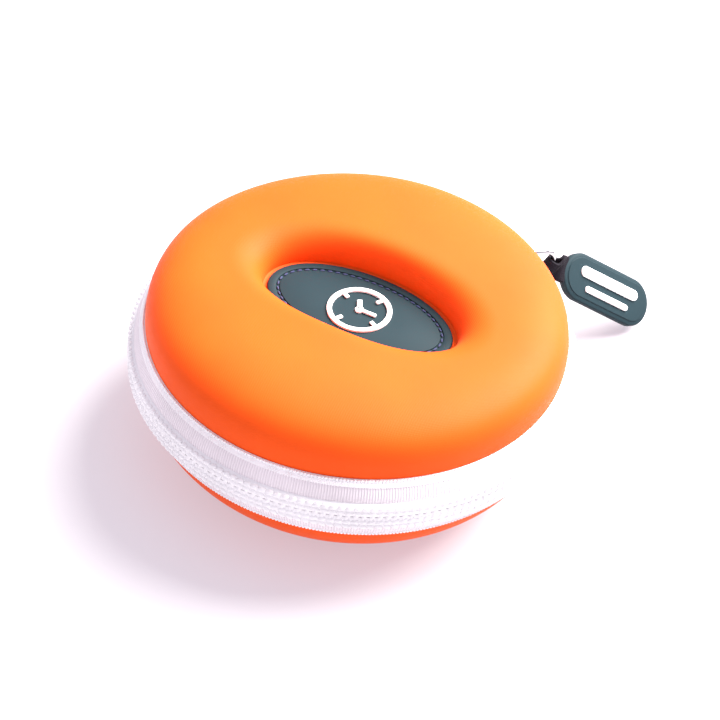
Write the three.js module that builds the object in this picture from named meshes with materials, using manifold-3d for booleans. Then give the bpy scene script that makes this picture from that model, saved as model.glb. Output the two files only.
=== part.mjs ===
// A round zip-up travel case for one watch: two moulded foam shells with a fabric face, joined by a
// white coil zip that runs round the rim and by a fabric hinge panel at the back. The lid is a ring with
// an oval dimple that holds a soft badge. Inside, an oval post keeps the closed watch strap in shape.
// Millimetres. The origin is the centre of the flat underside, +X lies along the badge, +Y points to the
// hinge and +Z points up. Plan angles are counted from +X towards +Y.

import * as THREE from 'three';
import { mergeVertices } from 'three/addons/utils/BufferGeometryUtils.js';
import Module from 'manifold-3d';

const wasm = await Module();
wasm.setup();

// ---- Driving dimensions ----

const rimRadius = 57.5; // outside of both shells where the zip tape is sewn on
const footRadius = 36.8; // flat round underside
const baseDepth = 18.3; // floor to the rim of the base
const bandHeight = 20.8; // rim of the base to rim of the lid
const lidRise = 14.2; // rim of the lid to its crest
const badgeSink = 8.9; // crest of the lid to the badge's top face
const baseCurve = 1.6; // roundness of the base: 2 is an ellipse, less is straighter
const lidCurve = 3.3; // roundness of the lid outside its crest
const dimpleCurve = 2.3; // roundness of the lid inside its crest

const shellWall = 3.2; // foam and its bonded fabric
const liningWall = 0.8;
const liningGap = 0.3;
const bindingWall = 0.8;
const bindingHeight = 5;

const crestHalfLength = 39.1; // oval line along the top of the lid
const crestHalfWidth = 25.3;
const badgeHalfLength = 27.4;
const badgeHalfWidth = 15.4;
const badgeThickness = 1.0;
const badgeMargin = 1.5; // dimple floor left free round the badge
const badgeGrooveInset = 2.5;
const badgeGrooveWidth = 1.0;
const badgeGrooveDepth = 0.45;
const badgeThread = 0.5;
const emblemRadius = 8.9;
const emblemLine = 1.4;
const emblemHeight = 0.6;
const badgeBevel = 0.3;
const dialTurn = 62; // the dial is moulded at this angle to the badge
const tickLength = 1.9;
const tickWidth = 1.1;
const tickRoot = 0.5; // each hour mark runs this far into the ring
const hubRadius = 1.2;
const hourHand = { length: 3.8, width: 1.4, angle: 55 };
const minuteHand = { length: 5.0, width: 1.1, angle: -60 };

const tapeWall = 0.8;
const tapeOverlap = 1.2; // tape lying on the shell past its rim
const tapeStandOff = 0.35; // free space between the shell and the tape's edge
const tapeBulge = 2.1; // the tape beside the coil stands this far outside the rim
const tapeShoulder = 0.9; // the tape steps out this far beside its sewn edge
const tapeShoulderDrop = 1.6; // within this height
const tapeTurn = 0.3; // the inner faces of a fold turn this much later
const coilZone = 6.2; // half height of the straight tape that the slider runs on
const coilHeight = 3.4; // each half of the coil, across the zip
const coilDepth = 2.0;
const coilGap = 1.1; // between the two halves of the coil
const threadSize = 0.4;
const threadShare = 0.35; // place of the seam in the tape's overlap, from the shell's rim

const sliderLength = 11.6;
const sliderHalfHeight = 5.6;
const sliderPlate = 1.3;
const sliderClearance = 0.55;
const sliderPost = 0.5;
const sliderPostLength = 2.4;
const sliderFlange = 0.8;
const sliderPostInset = 1; // from the end of the plates to the post
const castRoot = 0.2; // cast pieces run this far into each other
const bailWire = 1.3;
const bailOpening = 2.6; // inside height of the bail
const bailHalfLength = 4.0;
const bailWidth = 2.4;
const ringWire = 1.6;
const ringBend = 3.1; // bend radius of the ring's centre line
const ringStraight = 4.0;
const pinPlay = 0.5;

const strapWidth = 7.6;
const strapNeck = 4.0;
const strapWall = 0.9;
const strapPlay = 0.45;
const tabLength = 36;
const tabWidth = 14.6;
const tabThickness = 3.0;
const tabEdge = 0.5; // rounded edge of the rubber tab
const tabStart = 7.9; // from the centre of the ring's far bend to the tab
const tabBarHeight = 0.5;
const strapShoulder = 1.6; // length of the loop's slope down to the flat strap, in strap walls
const tabBars = [
  { name: 'tab_bar_long', length: 24, width: 3.3, across: 1.9 },
  { name: 'tab_bar_short', length: 18, width: 1.9, across: -2.9 },
];

const ringYaw = 42.4; // plan angle in which the ring lies
const tabDroop = 34; // how far the tab hangs below level
const tabTwist = 48; // turn of the tab about its own length

const backAngle = 90; // plan angle of the hinge
const hingeHalfAngle = 13.5;
const panelWall = 1.8;
const panelGap = 0.6; // between the tape or the coil and the hinge panel
const panelSplit = 0.3;
const panelReach = 2.8; // the panel overlaps each shell past its rim
const panelShoulder = 1.2; // the panel steps in this far to lie on the shells
const panelShoulderDrop = 1.8; // within this height
const panelTurn = 0.2;
const parkGap = 0.792; // between the hinge panel and the slider when the zip is shut
const upperTapeHalfNotch = 30.5; // the lid's zip tape leaves the slider's two parking places free
const coilEndGap = 1.2; // degrees between the hinge panel or the notch and the coil
const stopLength = 2.6; // degrees of each end stop

const postHalfLength = 29;
const postHalfWidth = 18.5;
const postCover = 1.0;
const postGap = 0.3;
const postTopGap = 0.6;
const postRound = 4;
const postSteps = 4; // flats along the rounded edge

const seat = 0.05; // two flat faces that rest on each other
const turns = 40; // flats round each large circle
const rows = 5; // steps along each curved stretch of a shell

// ---- Levels and radii worked out from them ----

const halfBand = bandHeight / 2;
const parting = baseDepth + halfBand;
const lidRim = baseDepth + bandHeight;
const crest = lidRim + lidRise;
const badgeTop = crest - badgeSink;
const dimpleFloor = badgeTop - badgeThickness - seat;
const floorHalfLength = badgeHalfLength + badgeMargin;
const floorHalfWidth = badgeHalfWidth + badgeMargin;
const meanFloor = Math.sqrt(floorHalfLength * floorHalfWidth);
const meanCrest = Math.sqrt(crestHalfLength * crestHalfWidth);
const liningDepth = shellWall + liningGap;
const insideDepth = liningDepth + liningWall;
const tapeInner = rimRadius + tapeBulge;
const tapeOuter = tapeInner + tapeWall;
const coilOuter = tapeOuter + coilDepth;
const panelInner = tapeOuter + panelGap;
const panelOuter = panelInner + panelWall;
const outerPlateInner = coilOuter + sliderClearance;
const outerPlateOuter = outerPlateInner + sliderPlate;
const innerPlateOuter = tapeInner - sliderClearance;
const innerPlateInner = innerPlateOuter - sliderPlate;
const bailInner = outerPlateOuter + bailOpening;
const pinRadius = outerPlateOuter + ringWire / 2 + pinPlay;
const sliderHalfAngle = THREE.MathUtils.radToDeg(sliderLength / 2 / outerPlateInner);
const parkGapAngle = THREE.MathUtils.radToDeg(parkGap / outerPlateInner);
const parkAngle = backAngle - hingeHalfAngle - sliderHalfAngle - parkGapAngle;

// ---- Helpers ----

const rad = THREE.MathUtils.degToRad;

function v2(x, y) {
  return new THREE.Vector2(x, y);
}

function signedVolume(geometry) {
  const position = geometry.getAttribute('position');
  const index = geometry.getIndex();
  const a = new THREE.Vector3();
  const b = new THREE.Vector3();
  const c = new THREE.Vector3();
  let sum = 0;
  for (let i = 0; i < index.count; i += 3) {
    a.fromBufferAttribute(position, index.getX(i));
    b.fromBufferAttribute(position, index.getX(i + 1));
    c.fromBufferAttribute(position, index.getX(i + 2));
    sum += a.dot(b.cross(c));
  }
  return sum / 6;
}

// Merges shared corners, drops slivers and turns the faces outwards.
function closed(source) {
  const geometry = source.clone();
  geometry.deleteAttribute('normal');
  geometry.deleteAttribute('uv');
  const merged = mergeVertices(geometry, 1e-4);
  const index = merged.getIndex().array;
  const kept = [];
  for (let i = 0; i < index.length; i += 3) {
    const [a, b, c] = [index[i], index[i + 1], index[i + 2]];
    if (a !== b && b !== c && c !== a) {
      kept.push(a, b, c);
    }
  }
  merged.setIndex(kept);
  if (signedVolume(merged) < 0) {
    for (let i = 0; i < kept.length; i += 3) {
      [kept[i], kept[i + 1]] = [kept[i + 1], kept[i]];
    }
    merged.setIndex(kept);
  }
  return merged;
}

function solid(geometry) {
  const body = closed(geometry);
  return new wasm.Manifold(new wasm.Mesh({
    numProp: 3,
    vertProperties: new Float32Array(body.getAttribute('position').array),
    triVerts: new Uint32Array(body.getIndex().array),
  }));
}

function fromSolid(body) {
  const mesh = body.getMesh();
  const geometry = new THREE.BufferGeometry();
  geometry.setAttribute('position', new THREE.BufferAttribute(new Float32Array(mesh.vertProperties), 3));
  geometry.setIndex(Array.from(mesh.triVerts));
  return geometry;
}

function join(first, ...others) {
  return fromSolid(others.reduce((sum, other) => sum.add(solid(other)), solid(first)));
}

function cut(first, ...others) {
  return fromSolid(others.reduce((sum, other) => sum.subtract(solid(other)), solid(first)));
}

function common(first, second) {
  return fromSolid(solid(first).intersect(solid(second)));
}

// A profile of (radius, height) points turned about the Z axis.
function turned(profile, steps = turns) {
  return new THREE.LatheGeometry(profile, steps).rotateX(Math.PI / 2);
}

// A ring whose section is the closed outline of (radius, height) points.
function ring(outline, steps = turns) {
  return closed(turned([...outline, outline[0]], steps));
}

function boxRing(inner, outer, low, high) {
  return ring([v2(inner, low), v2(outer, low), v2(outer, high), v2(inner, high)]);
}

function extruded(shape, low, high, curveSegments = 24) {
  const settings = { depth: high - low, bevelEnabled: false, curveSegments };
  const geometry = new THREE.ExtrudeGeometry(shape, settings);
  return geometry.translate(0, 0, low);
}

// A pie slice from plan angle `from` to `to`, less than half a turn.
function slice(from, to) {
  const reach = rimRadius * 3; // well past everything that is sliced
  const middle = (from + to) / 2;
  const shape = new THREE.Shape();
  shape.moveTo(0, 0);
  for (const angle of [from, middle, to]) {
    shape.lineTo(reach * Math.cos(rad(angle)), reach * Math.sin(rad(angle)));
  }
  return extruded(shape, -reach, reach);
}

function ellipse(halfLength, halfWidth) {
  return new THREE.Shape().absellipse(0, 0, halfLength, halfWidth, 0, Math.PI * 2, false, 0);
}

function ovalRing(outerLength, outerWidth, width, low, high) {
  const shape = ellipse(outerLength, outerWidth);
  const hole = new THREE.Path();
  hole.absellipse(0, 0, outerLength - width, outerWidth - width, 0, Math.PI * 2, true, 0);
  shape.holes.push(hole);
  return extruded(shape, low, high, turns);
}

function bar(length, width, low, high, x = 0, y = 0, angle = 0) {
  return new THREE.BoxGeometry(length, width, high - low)
    .translate(length / 2, 0, (low + high) / 2)
    .rotateZ(rad(angle))
    .translate(x, y, 0);
}

// Points of a quarter of a superellipse, from (1, 0) to (0, 1).
function quarter(power, steps) {
  const points = [];
  for (let i = 0; i <= steps; i += 1) {
    const angle = (Math.PI / 2) * (i / steps);
    points.push(v2(Math.cos(angle) ** (2 / power), Math.sin(angle) ** (2 / power)));
  }
  return points;
}

// The base's surface at a depth below its outside, from the axis to the rim.
function baseLayer(depth) {
  const across = rimRadius - footRadius - depth;
  const up = baseDepth - depth;
  const arc = quarter(baseCurve, rows).map((p) => v2(footRadius + across * p.x, baseDepth - up * p.y));
  return [v2(0, depth), ...arc.reverse()];
}

// The lid's surface at a depth below its outside, before its circles are drawn out into ovals.
function lidLayer(depth) {
  const top = crest - depth;
  const floor = dimpleFloor - depth;
  const inside = meanFloor + depth;
  const wall = meanCrest - inside;
  const sink = top - floor;
  const rise = top - lidRim;
  const dimple = quarter(dimpleCurve, rows).map((p) => v2(meanCrest - wall * p.x, floor + sink * p.y));
  const outside = rimRadius - depth - meanCrest;
  const dome = quarter(lidCurve, rows).map((p) => v2(meanCrest + outside * p.x, lidRim + rise * p.y));
  return [v2(0, floor), ...dimple, ...dome.reverse().slice(1)];
}

function ovalRadius(halfLength, halfWidth, angle) {
  return 1 / Math.hypot(Math.cos(angle) / halfLength, Math.sin(angle) / halfWidth);
}

// Draws the circles of the dimple and the crest out into ovals and leaves the rim round.
function drawOval(geometry) {
  const position = geometry.getAttribute('position');
  const rimStart = rimRadius - insideDepth - 1;
  for (let i = 0; i < position.count; i += 1) {
    const x = position.getX(i);
    const y = position.getY(i);
    const radius = Math.hypot(x, y);
    if (radius < 1e-6) {
      continue;
    }
    const angle = Math.atan2(y, x);
    const floor = ovalRadius(floorHalfLength, floorHalfWidth, angle);
    const top = ovalRadius(crestHalfLength, crestHalfWidth, angle);
    const from = [0, meanFloor, meanCrest, rimStart, rimRadius];
    const to = [0, floor, top, rimStart, rimRadius];
    let k = 1;
    while (k < from.length - 1 && radius > from[k]) {
      k += 1;
    }
    const share = (radius - from[k - 1]) / (from[k] - from[k - 1]);
    const moved = (to[k - 1] + (to[k] - to[k - 1]) * share) / radius;
    position.setXY(i, x * moved, y * moved);
  }
  return geometry;
}

function skin(layer, outerDepth, innerDepth) {
  return turned([...layer(outerDepth), ...layer(innerDepth).reverse()]);
}

// The same section above or below the parting plane: side is +1 for the lid and -1 for the base.
function mirrored(side, outline) {
  return outline.map(([radius, away]) => v2(radius, parting + side * away));
}

function tapeOutline() {
  const edge = rimRadius + tapeStandOff;
  return [
    [tapeInner, coilGap / 2],
    [tapeOuter, coilGap / 2],
    [tapeOuter, coilZone],
    [edge + tapeWall + tapeShoulder, halfBand - tapeShoulderDrop],
    [edge + tapeWall, halfBand],
    [edge + tapeWall, halfBand + tapeOverlap],
    [edge, halfBand + tapeOverlap],
    [edge, halfBand - tapeTurn],
    [edge + tapeShoulder, halfBand - tapeShoulderDrop - tapeTurn],
    [tapeInner, coilZone],
  ];
}

// ---- Materials ----

function material(color, roughness, metalness = 0) {
  return new THREE.MeshStandardMaterial({ color, roughness, metalness });
}

const orangeFabric = material(0xf47a22, 0.75);
const greyLining = material(0x3c4046, 0.9);
const whiteTape = material(0xf0eee9, 0.8);
const whiteCoil = material(0xfafafa, 0.45);
const tealRubber = material(0x54696f, 0.6);
const navyThread = material(0x2c3358, 0.8);
const whiteRubber = material(0xf4f4f2, 0.55);
const chromeMetal = material(0xd8dadd, 0.15, 1);
const blackStrap = material(0x221e26, 0.85);
const velour = material(0x4a4e55, 0.95);
const foam = material(0x8c8c8c, 0.95);

const watchCase = new THREE.Group();

function add(name, geometry, finish, parent = watchCase) {
  const mesh = new THREE.Mesh(closed(geometry), finish);
  mesh.name = name;
  parent.add(mesh);
  return mesh;
}

// ---- Shells, linings and bindings ----

add('base_shell', skin(baseLayer, 0, shellWall), orangeFabric);
add('base_lining', skin(baseLayer, liningDepth, insideDepth), greyLining);
add('lid_shell', drawOval(skin(lidLayer, 0, shellWall)), orangeFabric);
add('lid_lining', drawOval(skin(lidLayer, liningDepth, insideDepth)), greyLining);

const bindingDepth = insideDepth + liningGap;
const baseEdge = boxRing(footRadius, rimRadius, baseDepth - bindingHeight, baseDepth);
const lidEdge = boxRing(footRadius, rimRadius, lidRim, lidRim + bindingHeight);
const baseBand = skin(baseLayer, bindingDepth, bindingDepth + bindingWall);
const lidBand = drawOval(skin(lidLayer, bindingDepth, bindingDepth + bindingWall));
add('base_binding', common(baseBand, baseEdge), greyLining);
add('lid_binding', common(lidBand, lidEdge), greyLining);

// ---- Zip: two tapes, two rows of coil, their seams and end stops ----

const panelFrom = backAngle - hingeHalfAngle;
const panelTo = backAngle + hingeHalfAngle;
const notchFrom = backAngle - upperTapeHalfNotch;
const notchTo = backAngle + upperTapeHalfNotch;

const lowerTape = ring(mirrored(-1, tapeOutline()));
const upperTape = ring(mirrored(1, tapeOutline()));
const notchRing = boxRing(tapeInner - tapeWall, coilOuter + tapeWall, parting, parting + coilZone);
add('zip_tape_lower', lowerTape, whiteTape);
add('zip_tape_upper', cut(upperTape, common(notchRing, slice(notchFrom, notchTo))), whiteTape);

function coilRing(side) {
  const near = parting + (side * coilGap) / 2;
  const far = near + side * coilHeight;
  return boxRing(tapeOuter + seat, coilOuter, Math.min(near, far), Math.max(near, far));
}

const lowerEnd = panelFrom - coilEndGap;
const upperEnd = notchFrom - coilEndGap;
const stopSpan = stopLength + coilEndGap;
add('zip_coil_lower', cut(coilRing(-1), slice(lowerEnd - stopSpan, panelTo + coilEndGap)), whiteCoil);
add('zip_coil_upper', cut(coilRing(1), slice(upperEnd - stopSpan, notchTo + coilEndGap)), whiteCoil);

// A moulded stop closes the end of each row of coil beside the parked slider.
function coilStop(side, endAngle) {
  const near = parting + (side * coilGap) / 2;
  const far = near + side * coilHeight;
  const block = boxRing(tapeOuter + seat, coilOuter - seat, Math.min(near, far), Math.max(near, far));
  return common(block, slice(endAngle - stopLength, endAngle));
}

add('zip_stop_lower', coilStop(-1, lowerEnd), whiteCoil);
add('zip_stop_upper', coilStop(1, upperEnd), whiteCoil);

for (const [name, side] of [['seam_thread_lower', -1], ['seam_thread_upper', 1]]) {
  const inner = rimRadius + tapeStandOff + tapeWall + seat;
  const level = halfBand + tapeOverlap * threadShare;
  const outline = [
    [inner, level],
    [inner + threadSize, level],
    [inner + threadSize, level + threadSize],
    [inner, level + threadSize],
  ];
  add(name, ring(mirrored(side, outline)), whiteTape);
}

// ---- Hinge panel: one strip of the shell's fabric, split at the parting plane ----

function panelOutline() {
  const edgeInner = rimRadius + tapeStandOff + tapeWall + seat + threadSize + seat;
  const edgeOuter = edgeInner + panelWall;
  return [
    [panelInner, panelSplit],
    [panelOuter, panelSplit],
    [panelOuter, coilZone],
    [edgeOuter + panelShoulder, halfBand - panelShoulderDrop],
    [edgeOuter, halfBand + panelTurn],
    [edgeOuter, halfBand + panelReach],
    [edgeInner, halfBand + panelReach],
    [edgeInner, halfBand - panelTurn],
    [edgeInner + panelShoulder, halfBand - panelShoulderDrop - tapeTurn],
    [panelInner, coilZone],
  ];
}

for (const [name, side] of [['hinge_panel_lower', -1], ['hinge_panel_upper', 1]]) {
  add(name, common(ring(mirrored(side, panelOutline())), slice(panelFrom, panelTo)), orangeFabric);
}

// ---- Post that the closed strap goes round: a foam core in a velour sleeve ----

const postFoot = insideDepth + seat;
const postTop = dimpleFloor - insideDepth - postTopGap;

// An oval cap with a rounded top edge, at a depth below the sleeve's outside.
function postProfile(depth) {
  const top = postTop - depth;
  const side = postHalfLength - depth;
  const arc = quarter(2, postSteps).map((p) => v2(
    side - postRound * (1 - p.x),
    top - postRound * (1 - p.y),
  ));
  return [v2(side, postFoot), ...arc, v2(0, top)];
}

// Narrows a round solid to the post's width all the way through, keeping each wall's thickness.
function narrowPost(geometry) {
  const position = geometry.getAttribute('position');
  for (let i = 0; i < position.count; i += 1) {
    const x = position.getX(i);
    const y = position.getY(i);
    const radius = Math.hypot(x, y);
    if (radius < 1e-6) {
      continue;
    }
    const angle = Math.atan2(y, x);
    const sameWall = radius - (postHalfLength - postHalfWidth);
    const halfWidth = Math.max(sameWall, (radius * postHalfWidth) / postHalfLength);
    const moved = ovalRadius(radius, halfWidth, angle) / radius;
    position.setXY(i, x * moved, y * moved);
  }
  return geometry;
}

const sleeve = turned([...postProfile(0), ...postProfile(postCover).reverse(), postProfile(0)[0]]);
add('post_sleeve', narrowPost(sleeve), velour);
const coreProfile = postProfile(postCover + postGap);
add('post_core', narrowPost(turned([v2(0, postFoot), ...coreProfile])), foam);

// ---- Badge: a soft oval plate with a sewn groove and a raised watch-face motif ----

const badgeFoot = dimpleFloor + seat;
const plateOutline = ellipse(badgeHalfLength - badgeBevel, badgeHalfWidth - badgeBevel);
const plate = new THREE.ExtrudeGeometry(plateOutline, {
  depth: badgeThickness - badgeBevel,
  bevelThickness: badgeBevel,
  bevelSize: badgeBevel,
  bevelSegments: 1,
  curveSegments: 16,
});
const plateBlock = plate.translate(0, 0, badgeFoot);
const underside = boxRing(0, badgeHalfLength * 2, badgeFoot - badgeThickness, badgeFoot);
const grooveFloor = badgeTop - badgeGrooveDepth;
const groove = ovalRing(
  badgeHalfLength - badgeGrooveInset,
  badgeHalfWidth - badgeGrooveInset,
  badgeGrooveWidth,
  grooveFloor,
  badgeTop + badgeThickness,
);
add('badge', cut(plateBlock, underside, groove), tealRubber);

const threadMargin = (badgeGrooveWidth - badgeThread) / 2;
const threadInset = badgeGrooveInset + threadMargin;
add('badge_thread', ovalRing(
  badgeHalfLength - threadInset,
  badgeHalfWidth - threadInset,
  badgeThread,
  grooveFloor + seat,
  badgeTop - seat,
), navyThread);

const emblemFoot = badgeTop + seat;
const emblemTop = emblemFoot + emblemHeight;
const dial = new THREE.Shape().absarc(0, 0, emblemRadius, 0, Math.PI * 2, false);
dial.holes.push(new THREE.Path().absarc(0, 0, emblemRadius - emblemLine, 0, Math.PI * 2, true));
const dialMarks = [0, 90, 180, 270].map((angle) => {
  const turn = angle + dialTurn;
  const reach = emblemRadius - emblemLine - tickLength;
  const x = reach * Math.cos(rad(turn));
  const y = reach * Math.sin(rad(turn));
  return bar(tickLength + tickRoot, tickWidth, emblemFoot, emblemTop, x, y, turn);
});
add('emblem_dial', join(extruded(dial, emblemFoot, emblemTop), ...dialMarks), whiteRubber);

const hub = new THREE.CylinderGeometry(hubRadius, hubRadius, emblemHeight, 20).rotateX(Math.PI / 2);
hub.translate(0, 0, (emblemFoot + emblemTop) / 2);
const hands = [hourHand, minuteHand].map(({ length, width, angle }) => (
  bar(length, width, emblemFoot, emblemTop, 0, 0, dialTurn + angle)
));
add('emblem_hands', join(hub, ...hands), whiteRubber);

// ---- Slider and its bail, in a group turned to the plan angle where the zip is shut ----

const park = new THREE.Group();
park.rotation.z = rad(parkAngle);
watchCase.add(park);

const sliderSlice = slice(-sliderHalfAngle, sliderHalfAngle);
const fineTurns = turns * 3; // the short curved plates of the slider need finer flats

function plateRing(inner, outer, low, high) {
  const outline = [v2(inner, low), v2(outer, low), v2(outer, high), v2(inner, high)];
  return common(ring(outline, fineTurns), sliderSlice);
}

const low = parting - sliderHalfHeight;
const high = parting + sliderHalfHeight;
const flangeReach = tapeOuter + sliderClearance;
const postShift = sliderLength / 2 - sliderPostLength / 2 - sliderPostInset;
const postReach = outerPlateInner - innerPlateOuter + castRoot * 2;
const sliderPostBlock = new THREE.BoxGeometry(postReach, sliderPostLength, sliderPost)
  .translate((outerPlateInner + innerPlateOuter) / 2, postShift, parting);
add('slider_body', join(
  plateRing(outerPlateInner, outerPlateOuter, low, high),
  plateRing(innerPlateInner, innerPlateOuter, low, high),
  plateRing(flangeReach, outerPlateInner + castRoot, low, low + sliderFlange),
  plateRing(flangeReach, outerPlateInner + castRoot, high - sliderFlange, high),
  sliderPostBlock,
), chromeMetal, park);

const bail = new THREE.Shape();
const bailFoot = outerPlateOuter + seat;
bail.moveTo(bailFoot, -bailHalfLength);
bail.lineTo(bailInner, -bailHalfLength);
bail.lineTo(bailInner + bailWire, -bailHalfLength + bailWire);
bail.lineTo(bailInner + bailWire, bailHalfLength - bailWire);
bail.lineTo(bailInner, bailHalfLength);
bail.lineTo(bailFoot, bailHalfLength);
bail.lineTo(bailFoot, bailHalfLength - bailWire);
bail.lineTo(bailInner, bailHalfLength - bailWire);
bail.lineTo(bailInner, -bailHalfLength + bailWire);
bail.lineTo(bailFoot, -bailHalfLength + bailWire);
add('slider_bail', extruded(bail, parting - bailWidth / 2, parting + bailWidth / 2), chromeMetal, park);

// ---- Puller: a chrome ring in the bail, a woven loop and a rubber tab that hangs outwards ----

const puller = new THREE.Group();
puller.position.set(pinRadius * Math.cos(rad(parkAngle)), pinRadius * Math.sin(rad(parkAngle)), parting);
puller.rotation.z = rad(ringYaw);
watchCase.add(puller);

// Local +X runs outwards along the ring, +Z is up, and the ring lies in the XZ plane.
function pullerRing() {
  const geometry = new THREE.TorusGeometry(ringBend, ringWire / 2, 8, 28).rotateX(Math.PI / 2);
  const position = geometry.getAttribute('position');
  for (let i = 0; i < position.count; i += 1) {
    const x = position.getX(i);
    if (x > 1e-6) {
      position.setX(i, x + ringStraight);
    }
  }
  return geometry.translate(ringBend, 0, 0);
}
add('puller_ring', pullerRing(), chromeMetal, puller);

const hanging = new THREE.Group();
hanging.position.set(ringBend + ringStraight, 0, 0);
hanging.rotation.y = rad(tabDroop);
puller.add(hanging);

// The strap's edge view: a loop round the wire, then two layers sewn flat. Local X runs down the strap,
// Z across it and Y through it.
const loopHalf = ringWire / 2 + strapPlay;
const neckSag = ringBend - Math.sqrt(ringBend ** 2 - (strapNeck / 2) ** 2);
const loopBack = ringBend - loopHalf - neckSag;
const loopFront = ringBend + loopHalf;
const strapEnd = tabStart - seat * 4;

function strapEdge() {
  const shape = new THREE.Shape();
  const outer = loopHalf + strapWall;
  shape.moveTo(strapEnd, -strapWall);
  shape.lineTo(strapEnd, strapWall);
  shape.lineTo(loopFront + strapWall * strapShoulder, strapWall);
  shape.lineTo(loopFront, outer);
  shape.lineTo(loopBack, outer);
  shape.lineTo(loopBack - strapWall, strapWall);
  shape.lineTo(loopBack - strapWall, -strapWall);
  shape.lineTo(loopBack, -outer);
  shape.lineTo(loopFront, -outer);
  shape.lineTo(loopFront + strapWall * strapShoulder, -strapWall);
  const hole = new THREE.Path();
  hole.moveTo(loopBack, -loopHalf);
  hole.lineTo(loopBack, loopHalf);
  hole.lineTo(loopFront, loopHalf);
  hole.lineTo(loopFront, -loopHalf);
  shape.holes.push(hole);
  return shape;
}

function strapPlan() {
  const shape = new THREE.Shape();
  const back = loopBack - strapWall * 2;
  shape.moveTo(back, -strapNeck / 2);
  shape.lineTo(loopFront, -strapNeck / 2);
  shape.lineTo(loopFront + strapWall, -strapWidth / 2);
  shape.lineTo(strapEnd + 1, -strapWidth / 2);
  shape.lineTo(strapEnd + 1, strapWidth / 2);
  shape.lineTo(loopFront + strapWall, strapWidth / 2);
  shape.lineTo(loopFront, strapNeck / 2);
  shape.lineTo(back, strapNeck / 2);
  return shape;
}

const strapLoop = extruded(strapEdge(), -strapWidth, strapWidth);
const strapTaper = extruded(strapPlan(), -strapWidth, strapWidth).rotateX(Math.PI / 2);
add('pull_strap', common(strapLoop, strapTaper), blackStrap, hanging);

const twisted = new THREE.Group();
twisted.position.x = tabStart;
twisted.rotation.x = rad(-tabTwist);
hanging.add(twisted);

function roundedBar(length, width, depth, bevel, centreX, centreY, foot) {
  const shape = new THREE.Shape();
  const half = width / 2 - bevel;
  const reach = length / 2 - width / 2;
  shape.absarc(centreX + reach, centreY, half, -Math.PI / 2, Math.PI / 2, false);
  shape.absarc(centreX - reach, centreY, half, Math.PI / 2, (Math.PI * 3) / 2, false);
  const geometry = new THREE.ExtrudeGeometry(shape, {
    depth: depth - bevel * 2,
    bevelEnabled: bevel > 0,
    bevelThickness: bevel,
    bevelSize: bevel,
    bevelSegments: 2,
    curveSegments: 14,
  });
  return geometry.translate(0, 0, foot + bevel).rotateX(Math.PI / 2);
}

const tabMiddle = tabLength / 2;
const halfTab = tabThickness / 2;
const tabBlock = roundedBar(tabLength, tabWidth, tabThickness, tabEdge, tabMiddle, 0, -halfTab);
add('pull_tab', tabBlock, tealRubber, twisted);
for (const { name, length, width, across } of tabBars) {
  const block = roundedBar(length, width, tabBarHeight, 0, tabMiddle, across, halfTab + seat);
  add(name, block, whiteRubber, twisted);
}

export default watchCase;
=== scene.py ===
# %% [markdown]
# # A round zip-up watch case
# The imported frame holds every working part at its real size. This lesson dresses it: moulded foam with
# a fine fabric face, a woven zip with two rows of coil, chrome fittings, soft rubber and sewing.
# Everything is in metres, +Z is up and the hinge is at +Y.

import math

import bpy
from mathutils import Matrix, Vector


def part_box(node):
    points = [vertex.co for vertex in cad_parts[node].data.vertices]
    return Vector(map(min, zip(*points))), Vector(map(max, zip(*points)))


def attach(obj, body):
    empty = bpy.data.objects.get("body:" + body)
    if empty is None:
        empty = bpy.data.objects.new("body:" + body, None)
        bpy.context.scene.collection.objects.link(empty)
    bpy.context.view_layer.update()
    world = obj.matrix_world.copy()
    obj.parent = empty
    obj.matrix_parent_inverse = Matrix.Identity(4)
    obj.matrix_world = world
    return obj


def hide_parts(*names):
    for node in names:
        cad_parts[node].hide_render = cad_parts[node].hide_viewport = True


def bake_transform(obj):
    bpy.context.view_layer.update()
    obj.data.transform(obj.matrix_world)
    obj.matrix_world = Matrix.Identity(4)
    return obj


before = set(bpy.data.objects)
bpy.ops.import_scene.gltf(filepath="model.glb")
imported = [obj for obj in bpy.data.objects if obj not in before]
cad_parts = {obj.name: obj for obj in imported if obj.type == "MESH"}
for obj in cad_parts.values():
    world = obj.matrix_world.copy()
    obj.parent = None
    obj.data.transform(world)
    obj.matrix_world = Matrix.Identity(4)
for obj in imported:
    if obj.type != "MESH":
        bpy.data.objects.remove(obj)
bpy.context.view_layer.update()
MM = 0.001

# %% [markdown]
# The camera comes first. It looks down at the case from the front right, with a long lens and a slight
# roll, so the round rim shows as a tilted oval. The aim point is close to the middle of the case.

# %% Camera
CAMERA_AZIMUTH = math.radians(23.89)
CAMERA_ELEVATION = math.radians(42.68)
CAMERA_ROLL = math.radians(6.745)
CAMERA_DISTANCE = 0.5723
CAMERA_LENS = 103.7
aim = Vector((0.0016, 0.0007, 0.0264))

forward = Vector((
    -math.sin(CAMERA_AZIMUTH) * math.cos(CAMERA_ELEVATION),
    math.cos(CAMERA_AZIMUTH) * math.cos(CAMERA_ELEVATION),
    -math.sin(CAMERA_ELEVATION),
))
level = Vector((math.cos(CAMERA_AZIMUTH), math.sin(CAMERA_AZIMUTH), 0.0))
upward = level.cross(forward)
camera_right = level * math.cos(CAMERA_ROLL) + upward * math.sin(CAMERA_ROLL)
camera_up = upward * math.cos(CAMERA_ROLL) - level * math.sin(CAMERA_ROLL)
camera_data = bpy.data.cameras.new("camera")
camera_data.lens = CAMERA_LENS
camera_data.sensor_width = 36.0
camera_data.clip_start = 0.01
camera = bpy.data.objects.new("camera", camera_data)
bpy.context.scene.collection.objects.link(camera)
turn = Matrix((camera_right, camera_up, -forward)).transposed().to_4x4()
camera.matrix_world = Matrix.Translation(aim - forward * CAMERA_DISTANCE) @ turn
bpy.context.scene.camera = camera
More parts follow.
